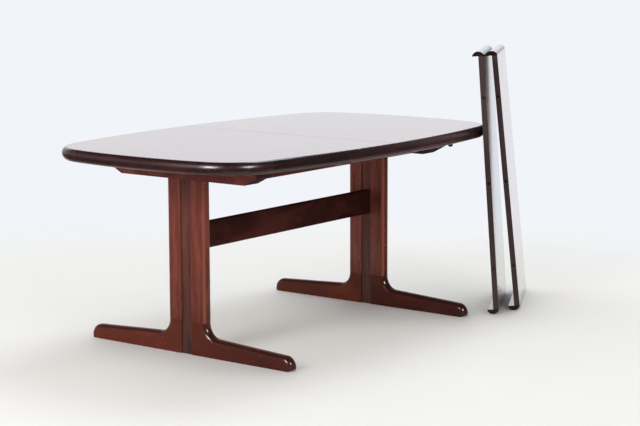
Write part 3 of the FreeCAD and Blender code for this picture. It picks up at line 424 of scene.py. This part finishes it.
def material_for(name):
    """The material of a node, by the words in its name."""
    if name.endswith("knob"):
        return plastic
    if "screws" in name or "bolt" in name or "sleeve" in name or name.endswith("lever"):
        return zinc
    if "dowels" in name:
        return dowel_wood
    if "runner" in name or "stop_blocks" in name:
        return runner_wood
    if name.endswith("guide_rail"):
        return rail_wood
    if name.endswith("panel"):
        return veneer_leaf if name.startswith("leaf") else veneer_top
    if name.endswith("rim"):
        return rim_for(name)
    if name.endswith("core_board"):
        return core_wood
    if name == "stretcher":
        return stretcher_wood
    if name.endswith("bearer"):
        return far_bearer_wood_painted_shade if name.startswith("far") else bearer_wood
    if name.endswith("post"):
        return far_post_wood_painted_light if name.startswith("far") else post_wood
    return far_foot_wood_painted_shade if name.startswith("far") else foot_wood


def rim_for(name):
    """Rim wood with its grain along the length of that piece."""
    if name.startswith("leaf"):
        return rim_leaf
    if name.endswith("end_rim"):
        return rim_along_y
    if name.endswith("side_rim"):
        return rim_along_x
    return rim_left if name in ("near_left_corner_rim", "far_right_corner_rim") else rim_right


for node_name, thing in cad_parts.items():
    thing.data.materials.clear()
    thing.data.materials.append(material_for(node_name))


def sky_way(azimuth, elevation):
    """Direction towards a place in the surroundings, from its azimuth and elevation in degrees."""
    a = math.radians(azimuth)
    e = math.radians(elevation)
    return Vector((math.cos(a) * math.cos(e), math.sin(a) * math.cos(e), math.sin(e)))


def backdrop_way():
    """Level direction from the camera to the backdrop."""
    return sky_way(CAMERA_YAW_DEGREES, 0)


def paper_share(shader, place):
    """1 on the paper sweep, which widens towards the backdrop, and 0 beside it."""
    ahead = backdrop_way()
    aside = ahead.cross(Vector(UPWARDS))
    along = shader.add("VectorMath", {0: place, 1: ahead}, operation="DOT_PRODUCT").outputs["Value"]
    across = shader.add("VectorMath", {0: place, 1: aside}, operation="DOT_PRODUCT").outputs["Value"]
    half_width = shader.math("ADD", shader.math("MULTIPLY", along, PAPER_WIDENING), PAPER_HALF_WIDTH)
    past_edge = shader.math("SUBTRACT", shader.math("ABSOLUTE", across), half_width)
    return shader.math("SUBTRACT", 1.0, shader.step(past_edge, 0.0, PAPER_EDGE))


def make_floor():
    """Pale floor that fades into the plain background; dark to mirrors beside the paper."""
    half = FLOOR_HALF_SIZE
    mesh = bpy.data.meshes.new("floor")
    corners = [(-half, -half, 0), (half, -half, 0), (half, half, 0), (-half, half, 0)]
    mesh.from_pydata(corners, [], [(0, 1, 2, 3)])
    floor = bpy.data.objects.new("floor", mesh)
    bpy.context.scene.collection.objects.link(floor)
    shader = Shader("pale_floor")
    own = shader.add("TexCoord").outputs["Object"]
    clouds = shader.noise(own, FLOOR_CLOUD_SCALE)
    clouded = tuple(part * FLOOR_CLOUD_TONE for part in FLOOR_COLOUR[:3]) + (1,)
    colour = shader.blend(clouds, FLOOR_COLOUR, clouded)
    shader.set(Base_Color=colour, Roughness=FLOOR_ROUGHNESS, Specular_IOR_Level=FLOOR_SHINE)
    distance = shader.add("VectorMath", {0: own}, operation="LENGTH").outputs["Value"]
    fade = shader.step(distance, FLOOR_FADE_START, FLOOR_FADE_END)
    path = shader.add("LightPath")
    beside = shader.math("SUBTRACT", 1.0, paper_share(shader, own))
    hidden = shader.math("MULTIPLY", beside, path.outputs["Is Glossy Ray"])
    strength = shader.spread(hidden, 1.0, DARK_STRENGTH)
    glow = shader.add("Emission", {"Color": BACKGROUND, "Strength": strength}).outputs[0]
    shown = shader.math("MAXIMUM", fade, hidden)
    mixed = shader.add("MixShader", {0: shown, 1: shader.surface.outputs[0], 2: glow}).outputs[0]
    shader.feed(shader.tree.nodes["Material Output"].inputs["Surface"], mixed)
    mesh.materials.append(shader.material)


def make_world():
    """Surroundings: white to the camera, to mirrors on the backdrop's side; low light from there."""
    world = bpy.data.worlds.new("studio")
    bpy.context.scene.world = world
    world.use_nodes = True
    tree = world.node_tree
    back = tree.nodes["Background"]

    def join(value, socket):
        if isinstance(value, bpy.types.NodeSocket):
            tree.links.new(value, socket)
        else:
            socket.default_value = value

    def sum_of(operation, first, second):
        node = tree.nodes.new("ShaderNodeMath")
        node.operation = operation
        join(first, node.inputs[0])
        join(second, node.inputs[1])
        return node.outputs[0]

    def step(value, start, stop, low, high):
        node = tree.nodes.new("ShaderNodeMapRange")
        node.interpolation_type = "SMOOTHSTEP"
        for socket, number in zip(node.inputs, (value, start, stop, low, high)):
            join(number, socket)
        return node.outputs["Result"]

    way = tree.nodes.new("ShaderNodeTexCoord").outputs["Generated"]
    ahead = backdrop_way()
    parts = tree.nodes.new("ShaderNodeSeparateXYZ")
    tree.links.new(way, parts.inputs[0])
    x, y, z = parts.outputs
    facing = sum_of("ADD", sum_of("MULTIPLY", x, ahead.x), sum_of("MULTIPLY", y, ahead.y))
    leftward = sum_of("SUBTRACT", sum_of("MULTIPLY", y, ahead.x), sum_of("MULTIPLY", x, ahead.y))
    low = step(z, *GLOW_LEVELS, GLOW_STRENGTH, 0.0)
    low_glow = sum_of("MULTIPLY", low, step(facing, *GLOW_SPREAD, 0.0, 1.0))
    backdrop = step(facing, *BACKDROP_SPREAD, DARK_STRENGTH, 1.0)
    left_wall = step(leftward, *LEFT_WALL_SPREAD, 0.0, LEFT_WALL_STRENGTH)
    wall_height = step(z, *BACKDROP_LEVELS, 1.0, DARK_STRENGTH)
    walls = sum_of("MULTIPLY", sum_of("MAXIMUM", backdrop, left_wall), wall_height)

    path = tree.nodes.new("ShaderNodeLightPath").outputs
    tint = tree.nodes.new("ShaderNodeMix")
    tint.data_type = "RGBA"
    for socket, value in ((0, path["Is Diffuse Ray"]), (6, BACKGROUND), (7, FILL_COLOUR)):
        join(value, tint.inputs[socket])
    tree.links.new(tint.outputs[2], back.inputs["Color"])
    seen = sum_of("MAXIMUM", path["Is Camera Ray"], path["Is Transmission Ray"])
    mirrored = sum_of("MULTIPLY", path["Is Glossy Ray"], walls)
    fill = sum_of("MULTIPLY", path["Is Diffuse Ray"], sum_of("ADD", low_glow, FILL_STRENGTH))
    strength = sum_of("MAXIMUM", seen, sum_of("MAXIMUM", mirrored, fill))
    tree.links.new(strength, back.inputs["Strength"])


def aimed(place, target):
    """Turn that points a lamp's or camera's -Z axis from a place at a target."""
    return (target - place).to_track_quat("-Z", "Y").to_matrix().to_4x4()


def make_softbox(name, size, distance, azimuth, elevation, watts, colour, lights_wood=True):
    """Square lamp aimed at the table; one that doesn't light the wood only shows in its lacquer."""
    data = bpy.data.lights.new(name, "AREA")
    data.size = size
    data.energy = watts
    data.color = colour
    lamp = bpy.data.objects.new(name, data)
    bpy.context.scene.collection.objects.link(lamp)
    place = SOFTBOX_AIM + sky_way(azimuth, elevation) * distance
    lamp.matrix_world = Matrix.Translation(place) @ aimed(place, SOFTBOX_AIM)
    lamp.visible_diffuse = lights_wood


def make_camera():
    """Camera at the photograph's place and angle."""
    ahead = sky_way(CAMERA_YAW_DEGREES, -CAMERA_PITCH_DEGREES)
    right = backdrop_way().cross(Vector(UPWARDS))
    turn = Matrix((right, right.cross(ahead), -ahead)).transposed().to_4x4()
    roll = Matrix.Rotation(math.radians(CAMERA_ROLL_DEGREES), 4, "Z")
    data = bpy.data.cameras.new("camera")
    data.lens = CAMERA_LENS_MM
    data.sensor_width = CAMERA_SENSOR_MM
    data.shift_x, data.shift_y = CAMERA_SHIFT
    camera = bpy.data.objects.new("camera", data)
    bpy.context.scene.collection.objects.link(camera)
    camera.matrix_world = Matrix.Translation(CAMERA_PLACE) @ turn @ roll
    bpy.context.scene.camera = camera


make_floor()
make_world()
make_softbox("overhead_softbox", *OVERHEAD_SOFTBOX)
make_softbox("left_softbox", *LEFT_SOFTBOX)
make_softbox("right_softbox", *RIGHT_SOFTBOX)
make_softbox("left_glint", *LEFT_GLINT, lights_wood=False)
make_softbox("right_glint", *RIGHT_GLINT, lights_wood=False)
make_camera()
bpy.context.scene.view_settings.view_transform = "Standard"
